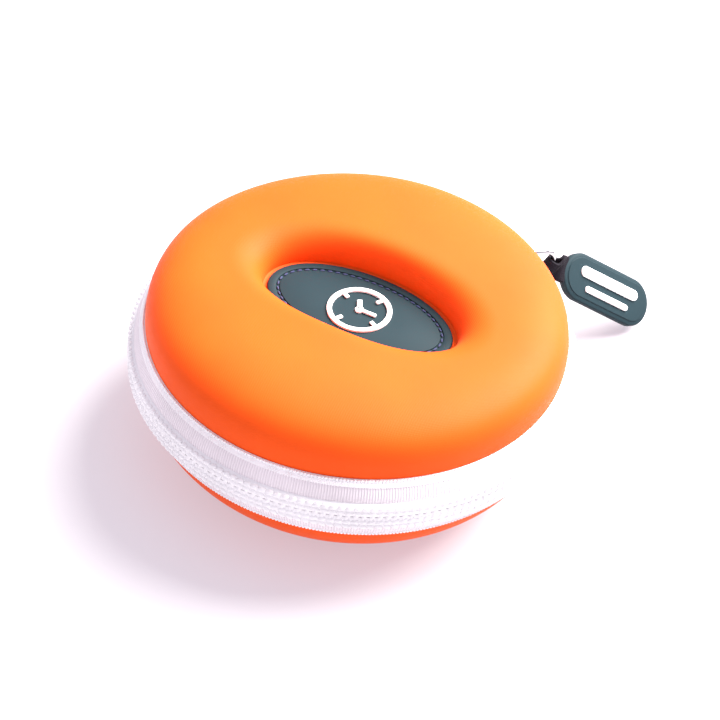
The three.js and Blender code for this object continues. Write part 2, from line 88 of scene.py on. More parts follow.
bpy.context.scene.view_settings.view_transform = "Standard"
print("camera at", [round(v, 4) for v in camera.location])

# %% [markdown]
# The floor is a white light table: it glows a little, so the shadows on it stay pale. One large soft light
# stands behind and to the right, so the near left side of the case falls into a soft shade, and the pale
# air of the studio keeps that shade open.

# %% Floor and lights
bpy.ops.object.select_all(action="DESELECT")
bpy.ops.mesh.primitive_plane_add(size=6.0, location=(0, 0, 0))
floor = bpy.context.object
floor.name = "studio_floor"
floor_material = bpy.data.materials.new("studio_paper")
floor_material.use_nodes = True
paper = floor_material.node_tree.nodes["Principled BSDF"]
paper.inputs["Base Color"].default_value = (0.36, 0.35, 0.36, 1.0)
paper.inputs["Roughness"].default_value = 0.8
paper.inputs["Specular IOR Level"].default_value = 0.0
paper.inputs["Emission Color"].default_value = (0.97, 0.90, 1.0, 1.0)
paper.inputs["Emission Strength"].default_value = 0.47
floor.data.materials.append(floor_material)


def soft_light(name, place, size, power, colour):
    data = bpy.data.lights.new(name, "AREA")
    data.shape = "DISK"
    data.size = size
    data.energy = power
    data.color = colour
    lamp = bpy.data.objects.new(name, data)
    bpy.context.scene.collection.objects.link(lamp)
    lamp.location = place
    direction = Vector((0, 0, 0.02)) - Vector(place)
    lamp.rotation_mode = "QUATERNION"
    lamp.rotation_quaternion = direction.to_track_quat("-Z", "Y")
    return lamp


soft_light("key_light", (0.42, 0.80, 0.93), 1.15, 92.0, (1.0, 0.985, 0.96))
world = bpy.data.worlds.new("studio_air")
world.use_nodes = True
world.node_tree.nodes["Background"].inputs["Color"].default_value = (0.94, 0.88, 1.0, 1.0)
world.node_tree.nodes["Background"].inputs["Strength"].default_value = 0.9
bpy.context.scene.world = world
print("studio ready")

# %% [markdown]
# ## Small tools
# Most pieces here are turned about the case's upright axis. A line of points is drawn by extruding one
# vertex from place to place, and the spin tool carries it round. Doubles are merged before the normals
# are set outwards. The spin tool turns clockwise about an axis that points up, so its axis points down
# here, and plan angles then grow anticlockwise, as in school geometry. On a full turn nobody would notice
# the difference, but a part turn lands on the wrong side of its start.

# %% Helpers for drawing and spinning
FULL_TURN = 2 * math.pi


def rest_selection():
    """Leaves edit mode and deselects everything, because operators act on all that is selected."""
    if bpy.context.object and bpy.context.object.mode != "OBJECT":
        bpy.ops.object.mode_set(mode="OBJECT")
    bpy.ops.object.select_all(action="DESELECT")


def settle(piece):
    """Puts the object's place into its mesh, so the object itself sits at the origin."""
    rest_selection()
    bpy.context.view_layer.objects.active = piece
    piece.select_set(True)
    bpy.ops.object.transform_apply(location=True, rotation=True, scale=True)
    return piece


def drawn_line(name, points):
    """Draws a line of edges through points, from a plane that is shrunk to one vertex."""
    rest_selection()
    bpy.ops.mesh.primitive_plane_add(size=MM, location=points[0])
    piece = bpy.context.object
    piece.name = name
    bpy.ops.object.mode_set(mode="EDIT")
    bpy.ops.mesh.merge(type="CENTER")
    for start, end in zip(points, points[1:]):
        bpy.ops.mesh.extrude_region_move(TRANSFORM_OT_translate={"value": Vector(end) - Vector(start)})
    bpy.ops.object.mode_set(mode="OBJECT")
    return settle(piece)


def tidy_mesh(piece, threshold=1e-6):
    """Merges points that lie on each other, then turns every face outwards."""
    rest_selection()
    bpy.context.view_layer.objects.active = piece
    piece.select_set(True)
    bpy.ops.object.mode_set(mode="EDIT")
    bpy.ops.mesh.select_all(action="SELECT")
    bpy.ops.mesh.remove_doubles(threshold=threshold)
    bpy.ops.mesh.normals_make_consistent(inside=False)
    bpy.ops.object.mode_set(mode="OBJECT")
    return piece


def spun(name, profile, steps, start=0.0, sweep=FULL_TURN):
    """Spins (radius, height) points about the upright axis, from one plan angle over a sweep."""
    side = Vector((math.cos(start), math.sin(start), 0))
    points = [side * r + Vector((0, 0, z)) for r, z in profile]
    piece = drawn_line(name, points)
    bpy.context.view_layer.objects.active = piece
    bpy.ops.object.mode_set(mode="EDIT")
    bpy.ops.mesh.select_all(action="SELECT")
    bpy.ops.mesh.spin(steps=steps, angle=sweep, center=(0, 0, 0), axis=(0, 0, -1))
    bpy.ops.object.mode_set(mode="OBJECT")
    return tidy_mesh(piece)


def closed_ends(piece):
    """Fills the open ends of a part turn."""
    bpy.context.view_layer.objects.active = piece
    bpy.ops.object.mode_set(mode="EDIT")
    bpy.ops.mesh.select_all(action="SELECT")
    bpy.ops.mesh.fill_holes(sides=0)
    bpy.ops.object.mode_set(mode="OBJECT")
    return tidy_mesh(piece)


def modify(piece, kind, **settings):
    """Adds one modifier, sets it and applies it."""
    rest_selection()
    bpy.context.view_layer.objects.active = piece
    piece.select_set(True)
    modifier = piece.modifiers.new(kind.lower(), kind)
    for key, value in settings.items():
        setattr(modifier, key, value)
    bpy.ops.object.modifier_apply(modifier=modifier.name)
    return piece


def smooth(piece, angle=math.radians(40)):
    """Shades a piece smooth, except across edges sharper than the angle."""
    rest_selection()
    bpy.context.view_layer.objects.active = piece
    piece.select_set(True)
    bpy.ops.object.shade_smooth_by_angle(angle=angle)
    return piece


def joined(name, pieces):
    """Joins pieces into the first of them, under one name."""
    rest_selection()
    for piece in pieces:
        piece.select_set(True)
    bpy.context.view_layer.objects.active = pieces[0]
    bpy.ops.object.join()
    pieces[0].name = name
    return pieces[0]


def finish_piece(piece, body, slot, material, *nodes):
    """Dresses a piece, hangs it on its body and hides the CAD nodes that it stands for."""
    piece.data.materials.clear()
    piece.data.materials.append(material)
    for polygon in piece.data.polygons:
        polygon.material_index = 0
    if body:
        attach(piece, body)
    if nodes:
        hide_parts(*nodes)
    print(piece.name, len(piece.data.polygons), "faces")
    return piece


# %% [markdown]
# ## Sizes taken from the frame
# Levels and radii are read from the CAD nodes, so the pieces fit the frame without being moved.

# %% Sizes from the frame
base_low, base_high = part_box("base_shell")
lid_low, lid_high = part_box("lid_shell")
RIM = (base_high.x - base_low.x) / 2
BASE_RIM = base_high.z
LID_RIM = lid_low.z
CREST = lid_high.z
PARTING = (BASE_RIM + LID_RIM) / 2
SEAM = 0.7 * MM  # the foam edge rolls this far over the tape
LID_EDGE = LID_RIM - SEAM
BASE_EDGE = BASE_RIM + SEAM
HALF_BAND = (LID_EDGE - BASE_EDGE) / 2
badge_low, badge_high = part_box("badge")
BADGE_LENGTH = badge_high.x
BADGE_WIDTH = badge_high.y
BADGE_TOP = badge_high.z
DIMPLE_FLOOR = badge_low.z - 0.05 * MM
coil_low, coil_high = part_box("zip_coil_lower")
COIL_OUT = coil_high.x
COIL_LOW = PARTING - coil_low.z
COIL_GAP = PARTING - coil_high.z
tape_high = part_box("zip_tape_lower")[1]
TAPE_OUT = tape_high.x
panel_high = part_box("hinge_panel_lower")[1]
PANEL_OUT = panel_high.y
PANEL_HALF = math.asin(panel_high.x / PANEL_OUT)
print("rim", round(RIM / MM, 2), "parting", round(PARTING / MM, 2), "crest", round(CREST / MM, 2))

# %% [markdown]
# ## Shader groups
# Three effects are used by more than one material: a fine woven grain, a mottled change of tone, and
# ribs that run round the case. Each is a node group that only puts out values that change over the
# surface. The ribs count round the case by the plan angle, found with an arctangent.

# %% Node helpers
def node(tree, kind, inputs=None, **settings):
    made = tree.nodes.new(kind)
    for key, value in settings.items():
        setattr(made, key, value)
    for key, value in (inputs or {}).items():
        socket = made.inputs[key]
        if isinstance(value, bpy.types.NodeSocket):
            tree.links.new(value, socket)
        else:
            socket.default_value = value
    return made


def math_node(tree, operation, first, second=None):
    values = {0: first}
    if second is not None:
        values[1] = second
    return node(tree, "ShaderNodeMath", values, operation=operation).outputs[0]


def new_group(name, inputs, outputs):
    group = bpy.data.node_groups.new(name, "ShaderNodeTree")
    for label, default in inputs.items():
        socket = group.interface.new_socket(label, in_out="INPUT", socket_type="NodeSocketFloat")
        socket.default_value = default
    for label in outputs:
        group.interface.new_socket(label, in_out="OUTPUT", socket_type="NodeSocketFloat")
    return group, group.nodes.new("NodeGroupInput"), group.nodes.new("NodeGroupOutput")


# %% [markdown]
# Cloth has threads that cross. Two sine waves multiplied give that pattern on a plane, so it is made for
# each of the three planes, and the direction that the surface faces decides which plane counts. A little
# noise in the waves keeps the threads from looking ruled.

# %% Woven grain group
weave_group, weave_in, weave_out = new_group("fine_weave", {"Pitch": 0.0005}, ["Height"])
place = node(weave_group, "ShaderNodeTexCoord").outputs["Object"]
wobble = node(weave_group, "ShaderNodeTexNoise", {"Vector": place, "Scale": 900.0, "Detail": 1.0})
split = node(weave_group, "ShaderNodeSeparateXYZ", {"Vector": place})
waves = math_node(weave_group, "DIVIDE", FULL_TURN, weave_in.outputs["Pitch"])
shifted = math_node(weave_group, "MULTIPLY", wobble.outputs["Fac"], 2.0)
facing = node(weave_group, "ShaderNodeSeparateXYZ", {
    "Vector": node(weave_group, "ShaderNodeTexCoord").outputs["Normal"]
})
threads = {}
for axis in "XYZ":
    phase = math_node(weave_group, "MULTIPLY", split.outputs[axis], waves)
    threads[axis] = math_node(weave_group, "SINE", math_node(weave_group, "ADD", phase, shifted))
total = 0.0
for axis, first, second in (("X", "Y", "Z"), ("Y", "X", "Z"), ("Z", "X", "Y")):
    weight = math_node(weave_group, "POWER", math_node(weave_group, "ABSOLUTE", facing.outputs[axis]), 2.0)
    crossed = math_node(weave_group, "MULTIPLY", threads[first], threads[second])
    total = math_node(weave_group, "ADD", math_node(weave_group, "MULTIPLY", crossed, weight), total)
weave_group.links.new(total, weave_out.inputs["Height"])

# %% [markdown]
# No dyed cloth or moulded rubber has quite one tone. A soft cloud of noise, held between two limits,
# multiplies the base colour.

# %% Mottled tone group
mottle_inputs = {"Scale": 40.0, "Low": 0.9, "High": 1.05}
mottle_group, mottle_in, mottle_out = new_group("mottled_tone", mottle_inputs, ["Tone"])
place = node(mottle_group, "ShaderNodeTexCoord").outputs["Object"]
cloud = node(
    mottle_group, "ShaderNodeTexNoise", {"Vector": place, "Scale": mottle_in.outputs["Scale"], "Detail": 4.0}
)
span = node(mottle_group, "ShaderNodeMapRange", {
    "Value": cloud.outputs["Fac"],
    "From Min": 0.3,
    "From Max": 0.7,
    "To Min": mottle_in.outputs["Low"],
    "To Max": mottle_in.outputs["High"],
})
mottle_group.links.new(span.outputs["Result"], mottle_out.inputs["Tone"])

# %% [markdown]
# Zip tape is woven with ribs across it. They stand upright all round the case, so they are counted by the
# plan angle. A pattern in X or Y would change its pitch along the way.

# %% Ribs round the case group
ribs_group, ribs_in, ribs_out = new_group("ribs_round_the_case", {"Count": 800.0}, ["Height"])
place = node(ribs_group, "ShaderNodeTexCoord").outputs["Object"]
split = node(ribs_group, "ShaderNodeSeparateXYZ", {"Vector": place})
plan_angle = math_node(ribs_group, "ARCTAN2", split.outputs["Y"], split.outputs["X"])
rib = math_node(ribs_group, "SINE", math_node(ribs_group, "MULTIPLY", plan_angle, ribs_in.outputs["Count"]))
ribs_group.links.new(rib, ribs_out.inputs["Height"])
print("shader groups ready")

# %% [markdown]
# ## Materials
# One recipe serves every cloth and rubber: a base colour that drifts slightly, a roughness, an optional
# sheen, a bump built from weave or ribs, and an optional painted shade that darkens the colour in the
# valleys of that grain. Uniform values are set on the shader itself.

# %% Material recipe
def finish(name, colour, roughness, weave=None, ribs=None, bump=0.2, depth=0.0001, drift=(0.93, 1.05),
           valley_shade=0.0, **uniform):
    material = bpy.data.materials.new(name)
    material.use_nodes = True
    tree = material.node_tree
    shader = tree.nodes["Principled BSDF"]
    tone = node(tree, "ShaderNodeGroup", node_tree=mottle_group)
    tone.inputs["Low"].default_value = drift[0]
    tone.inputs["High"].default_value = drift[1]
    tinted = node(tree, "ShaderNodeMix", data_type="RGBA", blend_type="MULTIPLY")
    tinted.inputs[0].default_value = 1.0
    tinted.inputs[6].default_value = (*colour, 1.0)
    tree.links.new(tone.outputs["Tone"], tinted.inputs[7])
    tree.links.new(tinted.outputs[2], shader.inputs["Base Color"])
    shader.inputs["Roughness"].default_value = roughness
    for key, value in uniform.items():
        shader.inputs[key.replace("_", " ")].default_value = value
    if weave:
        grain = node(tree, "ShaderNodeGroup", node_tree=weave_group)
        grain.inputs["Pitch"].default_value = weave
    elif ribs:
        grain = node(tree, "ShaderNodeGroup", node_tree=ribs_group)
        grain.inputs["Count"].default_value = ribs
    else:
        grain = node(tree, "ShaderNodeGroup", node_tree=mottle_group)
        grain.inputs["Scale"].default_value = 900.0
    # Painted shade: the base colour is darkened in the valleys of the grain, where the ribs or threads would
    # shade each other.
    if valley_shade:
        low = node(tree, "ShaderNodeMapRange", {
            "Value": grain.outputs[0],
            "From Min": -1.0,
            "From Max": 1.0,
            "To Min": 1 - valley_shade,
            "To Max": 1.0,
        })
        valley_shaded = node(tree, "ShaderNodeMix", data_type="RGBA", blend_type="MULTIPLY")
        valley_shaded.inputs[0].default_value = 1.0
        tree.links.new(tinted.outputs[2], valley_shaded.inputs[6])
        tree.links.new(low.outputs[0], valley_shaded.inputs[7])
        tree.links.new(valley_shaded.outputs[2], shader.inputs["Base Color"])
    relief = node(tree, "ShaderNodeBump", {"Height": grain.outputs[0], "Strength": bump, "Distance": depth})
    tree.links.new(relief.outputs["Normal"], shader.inputs["Normal"])
    return material


# %% [markdown]
# Now the recipe is used for each real material. The shells have an orange stretch fabric, the zip is white,
# the badge and the tab are dark teal rubber, and the inside is grey.

# %% Materials of the case
orange_fabric = finish("orange_stretch_fabric", (0.88, 0.088, 0.006), 0.55, weave=0.00055, bump=0.35,
                       depth=0.00006, Sheen_Weight=0.05, Sheen_Roughness=0.4,
                       Sheen_Tint=(1.0, 0.75, 0.45, 1.0), Specular_IOR_Level=0.1)
# The tape's colour carries painted shade in the valleys between its ribs.
white_tape = finish("white_zip_tape", (0.86, 0.80, 0.83), 0.8, ribs=520.0, bump=0.5, depth=0.00015,
                    valley_shade=0.16)
white_edge = finish("white_tape_edge", (0.93, 0.92, 0.93), 0.8, weave=0.0007, bump=0.6, depth=0.00015)
white_coil = finish("white_nylon_coil", (0.85, 0.84, 0.85), 0.5, bump=0.15, depth=0.00005)
teal_rubber = finish("teal_soft_rubber", (0.013, 0.029, 0.036), 0.58, bump=0.12, depth=0.00004,
                     drift=(0.9, 1.08), Specular_IOR_Level=0.12)
navy_thread = finish("navy_sewing_thread", (0.03, 0.04, 0.12), 0.6, weave=0.0003, bump=0.6)
white_rubber = finish("white_soft_rubber", (0.93, 0.92, 0.92), 0.5, bump=0.08, depth=0.00004,
                      drift=(0.97, 1.02))
chrome = finish("polished_chrome", (0.60, 0.58, 0.58), 0.13, bump=0.03, depth=0.00003, drift=(0.97, 1.02),
                Metallic=1.0)
black_webbing = finish("black_woven_webbing", (0.008, 0.006, 0.010), 0.75, weave=0.0008, bump=0.4,
                       depth=0.0001, Sheen_Weight=0.02, Specular_IOR_Level=0.1)
grey_lining = finish("grey_knit_lining", (0.035, 0.037, 0.043), 0.9, weave=0.0009, bump=0.6, depth=0.00015,
                     Sheen_Weight=0.3)
grey_binding = finish("charcoal_binding", (0.02, 0.02, 0.025), 0.8, weave=0.0006, bump=0.8, depth=0.00015)
grey_velour = finish("grey_velour", (0.06, 0.065, 0.075), 0.95, bump=0.5, depth=0.00015, Sheen_Weight=0.8,
                     Sheen_Roughness=0.4)
print("materials ready")

# %% [markdown]
# ## The lid
# The real lid is a sheet of foam with fabric on it, pressed hot in a mould. Its top is a ring whose
# crest runs round an oval dimple. Here a flat disc is spun first, as a stand-in for the uncut sheet,
# and every point of it is then lifted onto the moulded surface: floor, dimple wall, crest and shoulder
# in that order from the middle outwards. A sculpted surface would also do, but these curves can be changed
# by a few named sizes. The disc has two faces, and pressing them to two depths gives the foam its thickness.

# %% The lid's surface
FLOOR_MARGIN = 1.2 * MM
CREST_LONG = 39.1 * MM
CREST_SHORT = 25.3 * MM
CREST_DIP = 1.1 * MM  # the crest is this much lower at the ends of the badge
FOAM = 3.2 * MM
RINGS = 96
SPOKES = 192
FLOOR_SHARE = 0.16  # share of the rings that lies on the dimple's floor
DIMPLE_SHARE = 0.45  # share that lies inside the crest
LID_END_CURVE = 3.1  # how square the shoulder outside the crest is at the ends of the badge
LID_SIDE_CURVE = 0.5  # what the sides add to it
END_STEEPNESS = 2.2  # how square the dimple's wall is at the ends of the badge
NEAR_STEEPNESS = 3.8  # what the wall on the -Y side adds to it
FAR_STEEPNESS = 1.2
RIM_ROLL = 1.1 * MM
ROLL_SHARE = 0.15


def superellipse(power, turn_angle):
    """Unit point of a superellipse at a true angle from its first axis."""
    c, s = abs(math.cos(turn_angle)), abs(math.sin(turn_angle))
    reach = (c**power + s**power) ** (-1 / power)
    return c * reach, s * reach


def oval_radius(long_half, short_half, angle):
    return 1 / math.hypot(math.cos(angle) / long_half, math.sin(angle) / short_half)


def lid_point(share, angle, depth):
    """Radius and height of the lid at a share of the way from its middle to its rim, at a depth."""
    across = math.sin(angle) ** 2
    floor_radius = depth + oval_radius(BADGE_LENGTH + FLOOR_MARGIN, BADGE_WIDTH + FLOOR_MARGIN, angle)
    floor_height = DIMPLE_FLOOR - depth
    crest_radius = oval_radius(CREST_LONG, CREST_SHORT, angle)
    crest_height = CREST - CREST_DIP * (1 - across) - depth
    if share <= FLOOR_SHARE:
        return floor_radius * share / FLOOR_SHARE, floor_height
    if share <= DIMPLE_SHARE:
        quarter_turn = (math.pi / 2) * (share - FLOOR_SHARE) / (DIMPLE_SHARE - FLOOR_SHARE)
        steepness = NEAR_STEEPNESS if angle < 0 else FAR_STEEPNESS
        inward, rise = superellipse(END_STEEPNESS + steepness * across, quarter_turn)
        radius = crest_radius - (crest_radius - floor_radius) * inward
        return radius, floor_height + (crest_height - floor_height) * rise
    quarter_turn = (math.pi / 2) * (1 - (share - DIMPLE_SHARE) / (1 - DIMPLE_SHARE))
    outward, rise = superellipse(LID_END_CURVE + LID_SIDE_CURVE * across, quarter_turn)
    radius = crest_radius + (RIM - depth - crest_radius) * outward
    height = LID_EDGE + (crest_height - LID_EDGE) * rise
    roll = max(0.0, 1 - (height - LID_EDGE) / RIM_ROLL) if depth == 0 else 0.0
    return radius - RIM_ROLL * ROLL_SHARE * roll**2, height


def moulded_sheet(name, outer_depth, inner_depth):
    """Spins a flat disc of sheet and presses its two faces to two depths of the lid's surface."""
    top, bottom = CREST, CREST - (inner_depth - outer_depth)
    flat = [(RIM * i / RINGS, top) for i in range(RINGS + 1)]
    flat += [(RIM * i / RINGS, bottom) for i in range(RINGS, -1, -1)]
    sheet = spun(name, flat, SPOKES)
    for vertex in sheet.data.vertices:
        depth = outer_depth if vertex.co.z > (top + bottom) / 2 else inner_depth
        angle = math.atan2(vertex.co.y, vertex.co.x)
        radius, height = lid_point(min(1.0, math.hypot(vertex.co.x, vertex.co.y) / RIM), angle, depth)
        vertex.co = Vector((radius * math.cos(angle), radius * math.sin(angle), height))
    return smooth(sheet, math.radians(50))


# %% [markdown]
# The outer face is at no depth and the inner face lies one foam thickness under it.

# %% Mould the lid
lid_fabric = moulded_sheet("lid_foam_shell", 0.0, FOAM)
finish_piece(lid_fabric, "lid", "shell_fabric", orange_fabric, "lid_shell")

# %% [markdown]
# ## The base
# The base is a plain shallow bowl from the same sheet, with a flat round foot. Its wall is one closed
# line, spun whole: outside, rolled rim and inside. It is round everywhere, so a spin gives it exactly.

# %% Spin the base
FOOT = 36.8 * MM
BASE_POWER = 1.6  # 2 would be an ellipse, and less is straighter
BASE_ROWS = 28


def bowl_line(depth, rows=BASE_ROWS):
    """Points of the bowl at a depth under its outside, from the middle of the foot to the rim."""
    points = [(0.0, depth), (FOOT * 0.5, depth)]
    for i in range(rows + 1):
        inward, drop = superellipse(BASE_POWER, (math.pi / 2) * (1 - i / rows))
        radius = FOOT + (RIM - FOOT - depth) * inward
        height = BASE_EDGE - (BASE_EDGE - depth) * drop
        roll = max(0.0, 1 - (BASE_EDGE - height) / RIM_ROLL)
        if depth == 0:
            radius -= RIM_ROLL * ROLL_SHARE * roll**2
        points.append((radius, height))
    return points


base_profile = bowl_line(0.0) + bowl_line(FOAM)[::-1]
base_fabric = spun("base_foam_shell", base_profile, 160)
smooth(base_fabric, math.radians(50))
finish_piece(base_fabric, "base", "shell_fabric", orange_fabric, "base_shell")

# %% [markdown]
# ## The zip tape
# Each tape leaves the rolled edge of its shell, swells outwards and runs flat under the coil. Its sewn
# edge is denser and whiter than the ribbed middle, so it is a piece of its own, laid over the tape.

# %% Tapes
TAPE = 0.8 * MM
TAPE_PATH = [
    (RIM - 1.3 * MM, HALF_BAND + 0.3 * MM),
    (RIM - 0.2 * MM, HALF_BAND - 0.05 * MM),
    (RIM + 0.9 * MM, HALF_BAND - 0.8 * MM),
    (RIM + 1.7 * MM, HALF_BAND - 1.8 * MM),
    (RIM + 2.3 * MM, HALF_BAND - 3.0 * MM),
    (TAPE_OUT - 0.1 * MM, HALF_BAND - 4.4 * MM),
    (TAPE_OUT, HALF_BAND - 6.0 * MM),
    (TAPE_OUT, 0.02 * MM),
]


def smooth_path(path, steps=5):
    """Catmull-Rom points through a path of (radius, distance from the parting) pairs."""
    ends = [path[0], *path, path[-1]]
    points = []
    for k in range(1, len(ends) - 2):
        p0, p1, p2, p3 = (Vector(ends[k + j]) for j in (-1, 0, 1, 2))
        for i in range(steps):
            t = i / steps
            points.append(0.5 * (2 * p1 + (p2 - p0) * t + (2 * p0 - 5 * p1 + 4 * p2 - p3) * t**2
                                 + (3 * p1 - p0 - 3 * p2 + p3) * t**3))
    return [(p.x, p.y) for p in points] + [path[-1]]


def strip_profile(path, outside, inside):
    """A closed section that runs along a path, between two offsets to its outer side."""
    outer, inner = [], []
    for i, point in enumerate(path):
        before = Vector(path[max(i - 1, 0)])
        after = Vector(path[min(i + 1, len(path) - 1)])
        along = (after - before).normalized()
        normal = Vector((-along.y, along.x))
        outer.append(Vector(point) + normal * outside)
        inner.append(Vector(point) + normal * inside)
    loop = outer + inner[::-1] + outer[:1]
    return [(p.x, p.y) for p in loop]


def beside_parting(side, loop):
    return [(r, PARTING + side * d) for r, d in loop]


tape_path = smooth_path(TAPE_PATH)
for side, body, name in ((-1, "base", "lower"), (1, "lid", "upper")):
    section = beside_parting(side, strip_profile(tape_path, 0.0, -TAPE))
    tape = spun(f"zip_tape_{name}_woven", section, 240)
    smooth(tape, math.radians(35))
    finish_piece(tape, body, "zip_tape", white_tape, f"zip_tape_{name}")

# %% [markdown]
# The dense edge of each tape is knitted, not woven: a soft band with a row of tiny loops along the
# border, where the tape is sewn to the foam. One loop is made, and an array turns it round the case,
# because hundreds of loops drawn one by one would only be slower and no better.

# %% Sewn edges of the tapes
EDGE_BAND = 2.6 * MM
EDGE_RISE = 0.28 * MM
LOOP_PITCH = math.radians(0.9)


def repeated_round(piece, count, pitch):
    """Copies a piece round the upright axis with an array that follows a turned empty."""
    rest_selection()
    bpy.ops.object.empty_add(location=(0, 0, 0), rotation=(0, 0, pitch))
    pivot = bpy.context.object
    modify(piece, "ARRAY", count=count, use_relative_offset=False, use_object_offset=True,
           offset_object=pivot)
    bpy.data.objects.remove(pivot)
    return piece


def bead(name, place, half_sizes, tilt=0.0, segments=8, rings=5):
    """A rounded bead on the +X side, tilted about the radius it stands on."""
    rest_selection()
    bpy.ops.mesh.primitive_uv_sphere_add(
        segments=segments, ring_count=rings, radius=1.0, location=place, rotation=(tilt, 0, 0),
        scale=half_sizes
    )
    made = bpy.context.object
    made.name = name
    return settle(made)


def path_part(path, start, end):
    """The stretch of a path between two lengths along it."""
    kept, length = [], 0.0
    for before, after in zip(path, path[1:]):
        if start <= length <= end:
            kept.append(before)
        length += (Vector(after) - Vector(before)).length
    return kept


edge_path = path_part(tape_path, 0.9 * MM, 0.9 * MM + EDGE_BAND)
for side, body, name in ((-1, "base", "lower"), (1, "lid", "upper")):
    edge_section = beside_parting(side, strip_profile(edge_path, EDGE_RISE, -0.1 * MM))
    band = spun(f"tape_edge_{name}", edge_section, 240)
    border_r, border_d = edge_path[2]
    loops = bead(f"loops_{name}", (border_r + 0.25 * MM, 0, PARTING + side * (border_d + 0.3 * MM)),
                 (0.38 * MM, 0.5 * MM, 0.42 * MM), tilt=side * 0.5, segments=6, rings=4)
    repeated_round(loops, round(FULL_TURN / LOOP_PITCH), LOOP_PITCH)
    edge = smooth(joined(f"tape_sewn_edge_{name}", [band, loops]))
    finish_piece(edge, body, "seam_thread", white_edge, f"seam_thread_{name}")

# %% [markdown]
# The coil is nylon wire wound round a cord and chain-stitched to the tape, so its face shows two rows
# of slanted stitches that meet in a V. Between the two rows the turns of wire lock into each other. Where
# a row has no other row to face, its turns and its cord stop short, which leaves room for the slider's post
# at the ends of its run. In between, the post passes through the locked rows: real ones move aside.

# %% Coil rows
COIL_PITCH = math.radians(1.95)
LOWER_COIL = (math.radians(104.7), math.radians(431.5))  # plan angles, from the back round to the back
UPPER_COIL = (math.radians(121.7), math.radians(414.5))
COIL_MIDDLE = (COIL_GAP + COIL_LOW) / 2 + 0.1 * MM
STITCH_HALF = (0.8 * MM, 1.3 * MM, 0.78 * MM)
STITCH_TILT = math.radians(27)
STITCH_OFFSET = 0.78 * MM
LOCKING_TURN = (-0.75 * MM, 1.85 * MM)
LOCKED_CORD = 0.05  # mm from the parting to the cord, where the rows face each other
FREE_CORD = 0.32
FREE_TURN = (0.4 * MM, 1.85 * MM)  # short of the parting, to leave room for the slider's post


def row_of(unit, lattice, first, last):
    """Repeats one unit at every place of a lattice of angles that lies between two angles."""
    skipped = max(0, math.ceil((first - lattice) / COIL_PITCH))
    start = lattice + skipped * COIL_PITCH
    unit.data.transform(Matrix.Rotation(start, 4, "Z"))
    return repeated_round(unit, int((last - start - COIL_PITCH / 2) / COIL_PITCH) + 1, COIL_PITCH)


def wire_turn(side, near, far):
    """One turn of the wire, between two distances from the parting."""
    radius = COIL_OUT - 0.3 * MM - STITCH_HALF[0]
    return bead("wire_turn", (radius, 0, PARTING + side * (near + far) / 2),
                (0.5 * MM, 0.55 * MM, (far - near) / 2))


def free_stretches(first, last):
    """The parts of a row that have no other row to face."""
    ends = ((first, UPPER_COIL[0]), (UPPER_COIL[1], last))
    return [(start, end) for start, end in ends if end - start > COIL_PITCH]


def coil_units(name, side, first, last):
    """One row of chain stitches, with turns of wire that lock only where the other row faces them."""
    lattice = first + COIL_PITCH * (0.5 if side < 0 else 1.0)
    middle = PARTING + side * COIL_MIDDLE
    radius = COIL_OUT - 0.2 * MM - STITCH_HALF[0]
    pair = []
    for way in (-1, 1):
        place = (radius, 0, middle + way * STITCH_OFFSET)
        pair.append(bead("stitch", place, STITCH_HALF, tilt=way * STITCH_TILT))
    rows = [row_of(joined(name, pair), lattice, first, last)]
    rows.append(row_of(wire_turn(side, *LOCKING_TURN), lattice, *UPPER_COIL))
    for start, end in free_stretches(first, last):
        rows.append(row_of(wire_turn(side, *FREE_TURN), lattice, start, end))
    return joined(name, rows)


def coil_cord(name, side, first, last, near):
    """The filler cord that the wire is wound on, with closed ends."""
    outline = [(-0.1, near), (0.9, near + 0.1), (1.2, 0.9), (1.2, 3.0)]
    outline += [(1.0, 3.5), (0.4, 3.9), (-0.1, 4.2), (-0.1, near)]
    profile = [(TAPE_OUT + out * MM, PARTING + side * away * MM) for out, away in outline]
    cord = spun(name, profile, 160, first, last - first)
    return closed_ends(cord)


for side, body, name, span in ((-1, "base", "lower", LOWER_COIL), (1, "lid", "upper", UPPER_COIL)):
    units = coil_units(f"stitches_{name}", side, *span)
    cords = [coil_cord(f"cord_{name}", side, *UPPER_COIL, LOCKED_CORD)]
    for start, end in free_stretches(*span):
        cords.append(coil_cord(f"free_cord_{name}", side, start, end, FREE_CORD))
    row = smooth(joined(f"zip_coil_row_{name}", [units, *cords]), math.radians(60))
    finish_piece(row, body, "zip_coil", white_coil, f"zip_coil_{name}")

# %% [markdown]
# Every block that follows the case's curve is a spun rectangle with closed ends and eased edges: the
# moulded stops of the zip and the plates of the slider.

# %% Curved blocks and stops
def curved_block(name, inner, outer, low, high, start, end, ease, steps=10):
    loop = [(inner, low), (outer, low), (outer, high), (inner, high), (inner, low)]
    block = spun(name, loop, steps, start, end - start)
    closed_ends(block)
    modify(block, "BEVEL", width=ease, segments=3, limit_method="ANGLE", angle_limit=math.radians(40))
    return smooth(block)


STOP_LENGTH = math.radians(2.6)
STOP_ENDS = (math.radians(75.3), math.radians(58.3))
STOP_EASE = 0.45 * MM
for side, body, name, last in ((-1, "base", "lower", STOP_ENDS[0]), (1, "lid", "upper", STOP_ENDS[1])):
    low, high = sorted((PARTING + side * COIL_GAP / 2, PARTING + side * (COIL_LOW - 0.6 * MM)))
    stop = curved_block(f"zip_end_stop_{name}", TAPE_OUT + 0.05 * MM, COIL_OUT, low, high,
                        last - STOP_LENGTH, last, STOP_EASE)
    finish_piece(stop, body, "zip_coil", white_coil, f"zip_stop_{name}")
